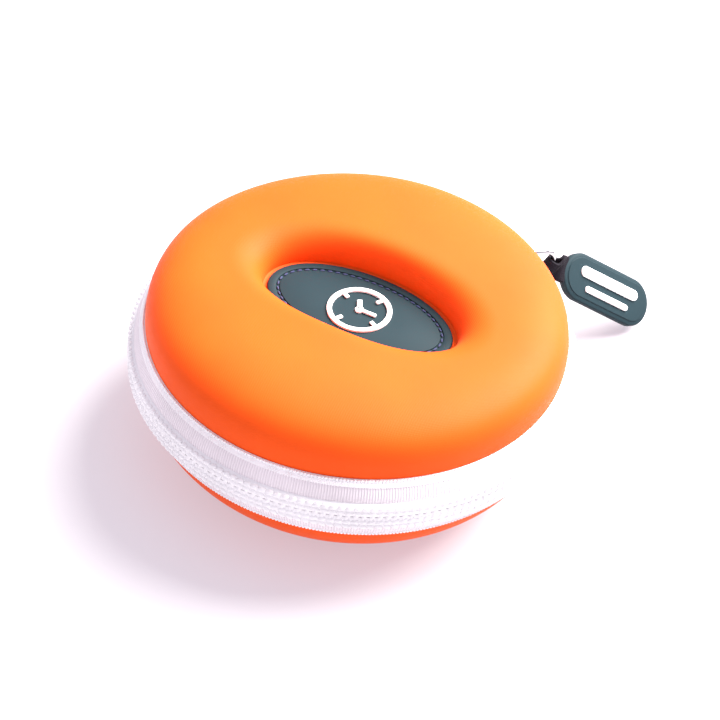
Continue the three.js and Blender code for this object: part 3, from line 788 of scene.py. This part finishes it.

# %% [markdown]
# ## The hinge
# The zip stops short at the back, and a strip of the shell's fabric is sewn over the gap. It is the only
# hinge the case has;
# here it is one fixed piece that hangs on neither half and does not move with the lid.

# %% Hinge strip
PANEL_WALL = 1.8 * MM
PANEL_PATH = [
    (PANEL_OUT - 1.9 * MM, HALF_BAND + 2.7 * MM),
    (PANEL_OUT - 1.85 * MM, HALF_BAND + 0.6 * MM),
    (PANEL_OUT - 1.3 * MM, HALF_BAND - 0.9 * MM),
    (PANEL_OUT - 0.3 * MM, HALF_BAND - 3.0 * MM),
    (PANEL_OUT, HALF_BAND - 5.2 * MM),
    (PANEL_OUT, 0.0),
]
half_path = smooth_path(PANEL_PATH, 6)
whole_path = half_path + [(r, -d) for r, d in half_path[-2::-1]]
panel_section = beside_parting(1, strip_profile(whole_path, 0.0, -PANEL_WALL))
hinge = spun("hinge_strip", panel_section, 24, math.pi / 2 - PANEL_HALF, 2 * PANEL_HALF)
closed_ends(hinge)
modify(hinge, "BEVEL", width=0.5 * MM, segments=3, limit_method="ANGLE", angle_limit=math.radians(50))
smooth(hinge, math.radians(60))
finish_piece(hinge, None, "shell_fabric", orange_fabric, "hinge_panel_lower", "hinge_panel_upper")
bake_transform(hinge)

# %% [markdown]
# ## The badge
# The badge is a moulded oval of soft rubber, with a bevelled border, a groove for the sewing and a flat
# middle. A round button is spun first, and each point then moves out to the oval, which keeps the
# border and the groove at one width all round.

# %% Oval badge
BADGE_THICK = BADGE_TOP - badge_low.z
GROOVE_INSET = 2.4 * MM
GROOVE_WIDTH = 1.15 * MM
GROOVE_DEEP = 0.42 * MM
BORDER_BEVEL = 0.35 * MM


def stretched_oval(piece, long_half, short_half, core):
    """Widens a round piece to an oval. Inside the core radius it stretches evenly."""
    for vertex in piece.data.vertices:
        radius = math.hypot(vertex.co.x, vertex.co.y)
        if radius < 1e-9:
            continue
        shift = (long_half - short_half) * min(1.0, radius / core)
        vertex.co.x += shift * vertex.co.x / radius
    return tidy_mesh(piece)


def height_line(pairs, outer):
    return [(outer - inset, height) for inset, height in pairs]


groove_end = GROOVE_INSET + GROOVE_WIDTH
core_radius = BADGE_WIDTH - groove_end - 0.2 * MM
badge_line = [(0.0, BADGE_TOP), (core_radius * 0.5, BADGE_TOP)] + height_line([
    (groove_end + 0.2 * MM, BADGE_TOP),
    (groove_end, BADGE_TOP - 0.06 * MM),
    (groove_end - 0.12 * MM, BADGE_TOP - GROOVE_DEEP),
    (GROOVE_INSET + 0.12 * MM, BADGE_TOP - GROOVE_DEEP),
    (GROOVE_INSET, BADGE_TOP - 0.06 * MM),
    (GROOVE_INSET - 0.15 * MM, BADGE_TOP),
    (BORDER_BEVEL * 1.6, BADGE_TOP),
    (BORDER_BEVEL * 0.7, BADGE_TOP - BORDER_BEVEL * 0.35),
    (0.0, BADGE_TOP - BORDER_BEVEL * 1.4),
    (0.0, BADGE_TOP - BADGE_THICK),
], BADGE_WIDTH) + [(core_radius, BADGE_TOP - BADGE_THICK), (0.0, BADGE_TOP - BADGE_THICK)]
badge_plate = spun("oval_badge", badge_line, 144)
stretched_oval(badge_plate, BADGE_LENGTH, BADGE_WIDTH, core_radius)
smooth(badge_plate, math.radians(30))
finish_piece(badge_plate, "lid", "soft_badge", teal_rubber, "badge")

# %% [markdown]
# The badge is sewn on with a running stitch that lies in the groove. Equal steps of an oval's own angle
# would crowd the stitches at its ends, so the oval is measured along its length first.

# %% Stitches in the groove
STITCH_COUNT = 56
STITCH_LEAN = math.radians(5)
THREAD_LIFT = 0.2 * MM
thread_long = BADGE_LENGTH - GROOVE_INSET - GROOVE_WIDTH / 2
thread_short = BADGE_WIDTH - GROOVE_INSET - GROOVE_WIDTH / 2


def even_oval_angles(long_half, short_half, count, samples=4000):
    """Parameters of points spaced evenly along an oval."""
    lengths, total = [0.0], 0.0
    previous = Vector((long_half, 0))
    for i in range(1, samples + 1):
        t = FULL_TURN * i / samples
        current = Vector((long_half * math.cos(t), short_half * math.sin(t)))
        total += (current - previous).length
        lengths.append(total)
        previous = current
    angles, i = [], 0
    for k in range(count):
        while lengths[i] < total * k / count:
            i += 1
        angles.append(FULL_TURN * i / samples)
    return angles, total / count


angles, stitch_pitch = even_oval_angles(thread_long, thread_short, STITCH_COUNT)
stitches = []
for t in angles:
    heading = math.atan2(thread_short * math.cos(t), -thread_long * math.sin(t))
    stitch = bead("stitch", (0, 0, 0), (0.37 * stitch_pitch, 0.3 * MM, 0.24 * MM), segments=8, rings=6)
    thread_height = BADGE_TOP - GROOVE_DEEP + THREAD_LIFT
    spot = Vector((thread_long * math.cos(t), thread_short * math.sin(t), thread_height))
    lean = Matrix.Rotation(STITCH_LEAN, 4, "Z")
    stitch.data.transform(Matrix.Translation(spot) @ Matrix.Rotation(heading, 4, "Z") @ lean)
    stitches.append(stitch)
badge_sewing = smooth(joined("badge_stitches", stitches))
finish_piece(badge_sewing, "lid", "badge_thread", navy_thread, "badge_thread")

# %% [markdown]
# The raised motif is a plain watch face: a ring, four hour marks and two hands, moulded in white rubber
# with soft edges.

# %% Watch-face motif
dial_low, dial_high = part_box("emblem_dial")
DIAL_RADIUS = (dial_high.x - dial_low.x) / 2
DIAL_LINE = 1.4 * MM
DIAL_TURN = math.radians(62)
MARK_ROOT = 1.9 * MM  # an hour mark starts this far inside the ring
HUB_RADIUS = 1.2 * MM
HUB_EASE = 0.2 * MM
HOUR_HAND_ANGLE = math.radians(55)
MINUTE_HAND_ANGLE = math.radians(-60)
DIAL_FOOT = dial_low.z
DIAL_TOP = dial_high.z
DIAL_EASE = 0.16 * MM


def eased_bar(name, length, width, low, high, reach, turn_angle, ease=DIAL_EASE):
    """A bar that starts at a reach from the middle and runs outwards, with soft edges."""
    rest_selection()
    bpy.ops.mesh.primitive_cube_add(size=1, location=(reach + length / 2, 0, (low + high) / 2),
                                    scale=(length, width, high - low))
    made = settle(bpy.context.object)
    made.name = name
    made.data.transform(Matrix.Rotation(turn_angle, 4, "Z"))
    modify(made, "BEVEL", width=ease, segments=3)
    return made


ring_line = [
    (DIAL_RADIUS - DIAL_LINE, DIAL_FOOT),
    (DIAL_RADIUS, DIAL_FOOT),
    (DIAL_RADIUS, DIAL_TOP - DIAL_EASE),
    (DIAL_RADIUS - DIAL_EASE * 0.3, DIAL_TOP - DIAL_EASE * 0.3),
    (DIAL_RADIUS - DIAL_EASE, DIAL_TOP),
    (DIAL_RADIUS - DIAL_LINE + DIAL_EASE, DIAL_TOP),
    (DIAL_RADIUS - DIAL_LINE + DIAL_EASE * 0.3, DIAL_TOP - DIAL_EASE * 0.3),
    (DIAL_RADIUS - DIAL_LINE, DIAL_TOP - DIAL_EASE),
    (DIAL_RADIUS - DIAL_LINE, DIAL_FOOT),
]
dial_parts = [spun("dial_ring", ring_line, 96)]
for quarter in range(4):
    dial_parts.append(eased_bar("hour_mark", 2.3 * MM, 1.1 * MM, DIAL_FOOT, DIAL_TOP,
                                DIAL_RADIUS - DIAL_LINE - MARK_ROOT, DIAL_TURN + quarter * math.pi / 2))
dial = smooth(joined("motif_dial", dial_parts))
finish_piece(dial, "lid", "emblem", white_rubber, "emblem_dial")

hub_line = [
    (0.0, DIAL_TOP),
    (HUB_RADIUS - HUB_EASE, DIAL_TOP),
    (HUB_RADIUS, DIAL_TOP - DIAL_EASE),
    (HUB_RADIUS, DIAL_FOOT),
    (0.0, DIAL_FOOT),
]
hands_parts = [
    spun("hub", hub_line, 32),
    eased_bar("hour_hand", 3.8 * MM, 1.4 * MM, DIAL_FOOT, DIAL_TOP, 0.0, DIAL_TURN + HOUR_HAND_ANGLE),
    eased_bar("minute_hand", 5.0 * MM, 1.1 * MM, DIAL_FOOT, DIAL_TOP, 0.0, DIAL_TURN + MINUTE_HAND_ANGLE),
]
hands = smooth(joined("motif_hands", hands_parts))
finish_piece(hands, "lid", "emblem", white_rubber, "emblem_hands")

# %% [markdown]
# ## The slider
# The slider is a die-cast shell round the zip: an outer plate, an inner plate, the side flanges and the
# post that parts the coil. A flat bail on top of it holds the ring of the puller.

# %% Slider body
PARK = math.radians(70.5)  # plan angle at which the slider rests
SLIDER_HALF = math.radians(5.28)
OUTER_PLATE = (62.95 * MM, 64.25 * MM)
INNER_PLATE = (57.75 * MM, 59.05 * MM)
SLIDER_HIGH = 5.6 * MM
FLANGE_IN = TAPE_OUT + 0.55 * MM
FLANGE_THICK = 0.8 * MM
FLANGE_HALF = SLIDER_HALF * 0.75
CAST_ROOT = 0.2 * MM  # cast parts run this far into each other
POST_START = PARK + math.radians(1.1)
POST_SWEEP = math.radians(2.1)
POST_HALF = 0.25 * MM


def slider_plate(name, inner, outer):
    """A curved plate whose ends draw in, as a slider's plates do."""
    plate = curved_block(name, inner, outer, PARTING - SLIDER_HIGH, PARTING + SLIDER_HIGH,
                         PARK - SLIDER_HALF, PARK + SLIDER_HALF, 0.01 * MM, steps=16)
    for vertex in plate.data.vertices:
        across = (math.atan2(vertex.co.y, vertex.co.x) - PARK) / SLIDER_HALF
        vertex.co.z = PARTING + (vertex.co.z - PARTING) * (1 - 0.2 * max(0.0, abs(across) - 0.35) ** 1.5)
    modify(plate, "BEVEL", width=0.35 * MM, segments=3, limit_method="ANGLE", angle_limit=math.radians(50))
    return plate


slider_parts = [slider_plate("outer_plate", *OUTER_PLATE), slider_plate("inner_plate", *INNER_PLATE)]
for side in (-1, 1):
    edges = sorted((PARTING + side * SLIDER_HIGH * 0.995, PARTING + side * (SLIDER_HIGH - FLANGE_THICK)))
    slider_parts.append(curved_block("flange", FLANGE_IN, OUTER_PLATE[0] + 0.3 * MM, *edges,
                                     PARK - FLANGE_HALF, PARK + FLANGE_HALF, 0.2 * MM))
slider_parts.append(curved_block("post", INNER_PLATE[1] - CAST_ROOT, OUTER_PLATE[0] + CAST_ROOT,
                                 PARTING - POST_HALF, PARTING + POST_HALF, POST_START,
                                 POST_START + POST_SWEEP, 0.08 * MM))
slider = smooth(joined("zip_slider_body", slider_parts))
finish_piece(slider, "slider", "chrome", chrome, "slider_body")

# %% [markdown]
# The bail is a flat strip bent into a loop. Its side view is drawn as a line with two round bends, pulled
# out to the strip's width, and Solidify gives the strip its thickness.

# %% Bail on the slider
BAIL_FOOT = OUTER_PLATE[1] - 0.05 * MM
BAIL_REACH = 67.5 * MM
BAIL_HALF = 3.35 * MM
BAIL_WIDE = 2.4 * MM
BAIL_THICK = 1.25 * MM
BAIL_BEND = 1.1 * MM
BEND_STEPS = 8
bail_line = [(BAIL_FOOT, -BAIL_HALF)]
for i in range(BEND_STEPS + 1):
    angle = -math.pi / 2 + math.pi * i / BEND_STEPS
    way = (angle > 0) - (angle < 0)
    middle = (BAIL_HALF - BAIL_BEND) * way
    reach = BAIL_REACH - BAIL_BEND + BAIL_BEND * math.cos(angle)
    bail_line.append((reach, middle + BAIL_BEND * math.sin(angle)))
bail_line.append((BAIL_FOOT, BAIL_HALF))
bail = drawn_line("slider_bail_loop", [Vector((x, y, PARTING - BAIL_WIDE / 2)) for x, y in bail_line])
bpy.context.view_layer.objects.active = bail
bpy.ops.object.mode_set(mode="EDIT")
bpy.ops.mesh.select_all(action="SELECT")
bpy.ops.mesh.extrude_region_move(TRANSFORM_OT_translate={"value": (0, 0, BAIL_WIDE)})
bpy.ops.object.mode_set(mode="OBJECT")
tidy_mesh(bail)
modify(bail, "SOLIDIFY", thickness=BAIL_THICK, offset=0.0)
modify(bail, "BEVEL", width=0.3 * MM, segments=3, limit_method="ANGLE", angle_limit=math.radians(50))
bail.data.transform(Matrix.Rotation(PARK, 4, "Z"))
smooth(bail)
finish_piece(bail, "slider", "chrome", chrome, "slider_bail")

# %% [markdown]
# ## The puller
# A closed chrome ring hangs in the bail, a woven strap goes round the ring and into the tab, and the tab
# is soft rubber with two raised bars. Each is modelled flat, then placed by the ring's own frame.

# %% Frames of the puller
PIN_RADIUS = 65.55 * MM
PIN = Vector((math.cos(PARK), math.sin(PARK), 0)) * PIN_RADIUS + Vector((0, 0, PARTING))
RING_BEND = 3.1 * MM
RING_STRAIGHT = 4.0 * MM
RING_WIRE = 1.6 * MM
STRAP_END = 7.9 * MM
RING_YAW = math.radians(42.4)
DROOP = math.radians(34)
TWIST = math.radians(-48)
ring_frame = Matrix.Translation(PIN) @ Matrix.Rotation(RING_YAW, 4, "Z")
far_bend = ring_frame @ Matrix.Translation((RING_BEND + RING_STRAIGHT, 0, 0))
hanging_frame = far_bend @ Matrix.Rotation(DROOP, 4, "Y")
tab_frame = hanging_frame @ Matrix.Translation((STRAP_END, 0, 0)) @ Matrix.Rotation(TWIST, 4, "X")

# %% [markdown]
# The ring is bent from round wire into a long link. It starts as a torus, and half of it is moved along,
# which leaves two straight sides between the bends.

# %% Ring
rest_selection()
bpy.ops.mesh.primitive_torus_add(
    major_radius=RING_BEND, minor_radius=RING_WIRE / 2, major_segments=48, minor_segments=20,
    rotation=(math.pi / 2, 0, 0)
)
ring = settle(bpy.context.object)
ring.name = "puller_chrome_ring"
for vertex in ring.data.vertices:
    if vertex.co.x > 1e-6:
        vertex.co.x += RING_STRAIGHT
ring.data.transform(ring_frame @ Matrix.Translation((RING_BEND, 0, 0)))
smooth(ring)
finish_piece(ring, "puller", "chrome", chrome, "puller_ring")

# %% [markdown]
# The strap is a folded piece of webbing: narrow where it passes round the ring, and wide and twisted where
# it enters the tab. A flat grid is laid along the folded path, so each row of it keeps the strap's width.

# %% Woven strap
STRAP_WALL = 0.9 * MM
STRAP_NECK = 2.9 * MM
STRAP_WIDE = 8.0 * MM
half_strap = smooth_path([
    (STRAP_END + 0.9 * MM, 0.46 * MM),
    (6.4 * MM, 0.46 * MM),
    (5.5 * MM, 0.75 * MM),
    (4.6 * MM, 1.3 * MM),
    (3.5 * MM, 1.6 * MM),
    (2.4 * MM, 1.5 * MM),
    (1.65 * MM, 1.0 * MM),
    (1.35 * MM, 0.0),
], 5)
strap_path = half_strap + [(x, -y) for x, y in half_strap[-2::-1]]
STRAP_COLUMNS = 12
rest_selection()
bpy.ops.mesh.primitive_grid_add(x_subdivisions=len(strap_path) - 1, y_subdivisions=STRAP_COLUMNS, size=2)
strap = bpy.context.object
strap.name = "woven_pull_strap"


def eased(value):
    """A step from 0 to 1 that starts and ends gently."""
    value = min(1.0, max(0.0, value))
    return value * value * (3 - 2 * value)


for vertex in strap.data.vertices:
    step = round((vertex.co.x + 1) / 2 * (len(strap_path) - 1))
    across = vertex.co.y
    x, y = strap_path[step]
    widening = eased((x - 4.0 * MM) / (2.8 * MM))
    half_width = (STRAP_NECK + (STRAP_WIDE - STRAP_NECK) * widening) / 2
    twisting = TWIST * eased((x - 4.8 * MM) / (3.2 * MM))
    point = Matrix.Rotation(twisting, 3, "X") @ Vector((0, y, across * half_width))
    vertex.co = Vector((x, point.y, point.z))
modify(strap, "SOLIDIFY", thickness=STRAP_WALL, offset=0.0)
modify(strap, "BEVEL", width=0.2 * MM, segments=2, limit_method="ANGLE", angle_limit=math.radians(60))
strap.data.transform(hanging_frame)
smooth(strap, math.radians(60))
finish_piece(strap, "pull_tab", "strap", black_webbing, "pull_strap")

# %% [markdown]
# The tab is moulded rubber with a raised face inside a low rim. A round button is spun from its side view
# and its two halves are moved apart, so rim and face keep their widths round both ends. The bars are made
# in the same way.

# %% Rubber tab and its bars
TAB_LONG = 36 * MM
TAB_WIDE = 14.6 * MM
TAB_THICK = 3.0 * MM
BAR_HIGH = 0.5 * MM


def stadium(name, length, width, levels, centre, steps=72):
    """A bar with round ends: a spun button whose two halves are moved apart. Levels are (inset, height)."""
    radius = width / 2
    top, bottom = levels[0][1], levels[-1][1]
    line = [(0.0, top)] + height_line(levels, radius) + [(0.0, bottom)]
    piece = spun(name, line, steps)
    shift = length / 2 - radius
    for vertex in piece.data.vertices:
        if abs(vertex.co.x) > 1e-6:
            vertex.co.x += math.copysign(shift, vertex.co.x)
    face_out = Matrix.Rotation(math.pi / 2, 4, "X")
    piece.data.transform(tab_frame @ Matrix.Translation((TAB_LONG / 2, 0, centre)) @ face_out)
    return smooth(tidy_mesh(piece), math.radians(28))


half = TAB_THICK / 2
RIM_STEP = 0.35 * MM
tab_levels = [
    (2.1 * MM, half - 0.02 * MM),
    (1.5 * MM, half - 0.05 * MM),
    (1.25 * MM, half - RIM_STEP),
    (0.75 * MM, half - RIM_STEP - 0.05 * MM),
    (0.3 * MM, half - RIM_STEP - 0.22 * MM),
    (0.0, half - RIM_STEP - 0.6 * MM),
    (0.0, -half + 0.5 * MM),
    (0.15 * MM, -half + 0.15 * MM),
    (0.5 * MM, -half),
]
tab = stadium("rubber_pull_tab", TAB_LONG, TAB_WIDE, tab_levels, 0.0)
finish_piece(tab, "pull_tab", "soft_badge", teal_rubber, "pull_tab")
BAR_EASE = 0.2 * MM
bar_levels = [
    (BAR_EASE, half + BAR_HIGH),
    (BAR_EASE * 0.3, half + BAR_HIGH - BAR_EASE * 0.3),
    (0.0, half + BAR_HIGH - BAR_EASE),
    (0.0, half),
]
TAB_BARS = (("long", 24 * MM, 3.3 * MM, 1.9 * MM), ("short", 18 * MM, 1.9 * MM, -2.9 * MM))
for name, length, width, across in TAB_BARS:
    bar = stadium(f"raised_bar_{name}", length, width, bar_levels, across, 48)
    finish_piece(bar, "pull_tab", "emblem", white_rubber, f"tab_bar_{name}")
print("puller ready")

# %% [markdown]
# ## Inside the case
# Both halves are lined with a thin knit, turned under a binding at the rim. A padded post stands in the
# base for a closed watch strap to go round. It is foam in a velour sleeve.

# %% Linings and bindings
LINING_DEPTH = 3.5 * MM
INSIDE_DEPTH = 4.3 * MM
BINDING_HIGH = 5.0 * MM
BINDING_WALL = 0.8 * MM
lining_profile = bowl_line(LINING_DEPTH) + bowl_line(INSIDE_DEPTH)[::-1]
base_knit = smooth(spun("base_knit_lining", lining_profile, 128), math.radians(50))
finish_piece(base_knit, "base", "lining", grey_lining, "base_lining")

lid_knit = moulded_sheet("lid_knit_lining", LINING_DEPTH, INSIDE_DEPTH)
finish_piece(lid_knit, "lid", "lining", grey_lining, "lid_lining")

base_band_line = [p for p in bowl_line(INSIDE_DEPTH + 0.02 * MM) if p[1] > BASE_RIM - BINDING_HIGH]
base_band = spun("base_rim_binding", strip_profile(base_band_line, 0.0, BINDING_WALL), 128)
smooth(base_band)
finish_piece(base_band, "base", "binding", grey_binding, "base_binding")

BAND_START = 0.845
band_depths = (INSIDE_DEPTH + 0.02 * MM, INSIDE_DEPTH + BINDING_WALL)
band_steps = 8
band_shares = [BAND_START + (1 - BAND_START) * i / band_steps for i in range(band_steps + 1)]
band_loop = [(RIM * share, CREST) for share in band_shares]
band_loop += [(RIM * share, CREST - BINDING_WALL) for share in reversed(band_shares)]
lid_band = spun("lid_rim_binding", band_loop + band_loop[:1], SPOKES)
for vertex in lid_band.data.vertices:
    depth = band_depths[0] if vertex.co.z > CREST - BINDING_WALL / 2 else band_depths[1]
    angle = math.atan2(vertex.co.y, vertex.co.x)
    radius, height = lid_point(min(1.0, math.hypot(vertex.co.x, vertex.co.y) / RIM), angle, depth)
    vertex.co = Vector((radius * math.cos(angle), radius * math.sin(angle), height))
finish_piece(smooth(lid_band), "lid", "binding", grey_binding, "lid_binding")

# %% [markdown]
# The padded post is the one stuffed piece. Its sleeve starts a little small and is blown up as cloth
# under a light pressure, with its foot held down, so the sides swell and the top crowns as sewn velour
# does over foam. A round cord covers the seam between its top and its side.

# %% Padded post
post_low, post_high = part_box("post_sleeve")
POST_LONG = post_high.x
POST_SHORT = post_high.y
POST_SLACK = 1.7 * MM
POST_EASE = 3.4 * MM
SWELL = 1.5 * MM


def post_line(slack, steps=6):
    side = POST_SHORT - slack
    top = post_high.z - slack
    line = [(0.0, post_low.z), (side * 0.6, post_low.z), (side, post_low.z), (side, (post_low.z + top) / 2)]
    for i in range(steps + 1):
        angle = (math.pi / 2) * i / steps
        line.append((side - POST_EASE * (1 - math.cos(angle)), top - POST_EASE * (1 - math.sin(angle))))
    return line + [(side * 0.4, top), (0.0, top)]


post = spun("padded_post_sleeve", post_line(POST_SLACK), 64)
stretched_oval(post, POST_LONG - POST_SLACK, POST_SHORT - POST_SLACK, POST_SHORT * 0.5)
modify(post, "REMESH", mode="VOXEL", voxel_size=4 * MM, use_smooth_shade=True)
before = [vertex.co.copy() for vertex in post.data.vertices]
held = post.vertex_groups.new(name="held")
held.add([i for i, point in enumerate(before) if point.z < post_low.z + 3 * MM], 1.0, "REPLACE")
cloth = post.modifiers.new("cloth", "CLOTH")
cloth.settings.use_pressure = True
cloth.settings.uniform_pressure_force = 4.0
cloth.settings.vertex_group_mass = "held"
cloth.settings.effector_weights.gravity = 0.0
for frame_number in range(1, 21):
    bpy.context.scene.frame_set(frame_number)
rest_selection()
post.select_set(True)
bpy.context.view_layer.objects.active = post
bpy.ops.object.modifier_apply(modifier="cloth")
bpy.context.scene.frame_set(1)
for vertex, point in zip(post.data.vertices, before):
    swell = vertex.co - point
    swell.z = min(swell.z, SWELL)
    vertex.co = point + swell * min(1.0, SWELL / max(swell.length, 1e-9))
    vertex.co.z = max(post_low.z, vertex.co.z)
post.vertex_groups.clear()
modify(post, "SUBSURF", levels=1, render_levels=1)
smooth(post, math.radians(180))
finish_piece(post, "base", "velour", grey_velour, "post_sleeve")

# %% [markdown]
# A thin cord is sewn over the seam of the sleeve, and foam fills it. The foam can't be seen, so it keeps
# its CAD shape and only gets a material.

# %% Cord over the post's seam, and the foam inside
PIPE = 0.55 * MM
pipe_radius = POST_SHORT - POST_EASE * 0.55
pipe_height = post_high.z - POST_EASE * 0.42
pipe_loop = []
for i in range(11):
    angle = FULL_TURN * i / 10
    pipe_loop.append((pipe_radius + PIPE * math.cos(angle), pipe_height + PIPE * math.sin(angle)))
piping = spun("post_seam_piping", pipe_loop, 96)
stretched_oval(piping, POST_LONG, POST_SHORT, POST_SHORT * 0.5)
finish_piece(smooth(piping), "base", "binding", grey_binding)

foam_core = finish("open_cell_foam", (0.2, 0.2, 0.21), 0.95, bump=0.8, depth=0.0004)
core_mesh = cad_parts["post_core"].data
core_mesh.materials.clear()
core_mesh.materials.append(foam_core)
print("inside ready")
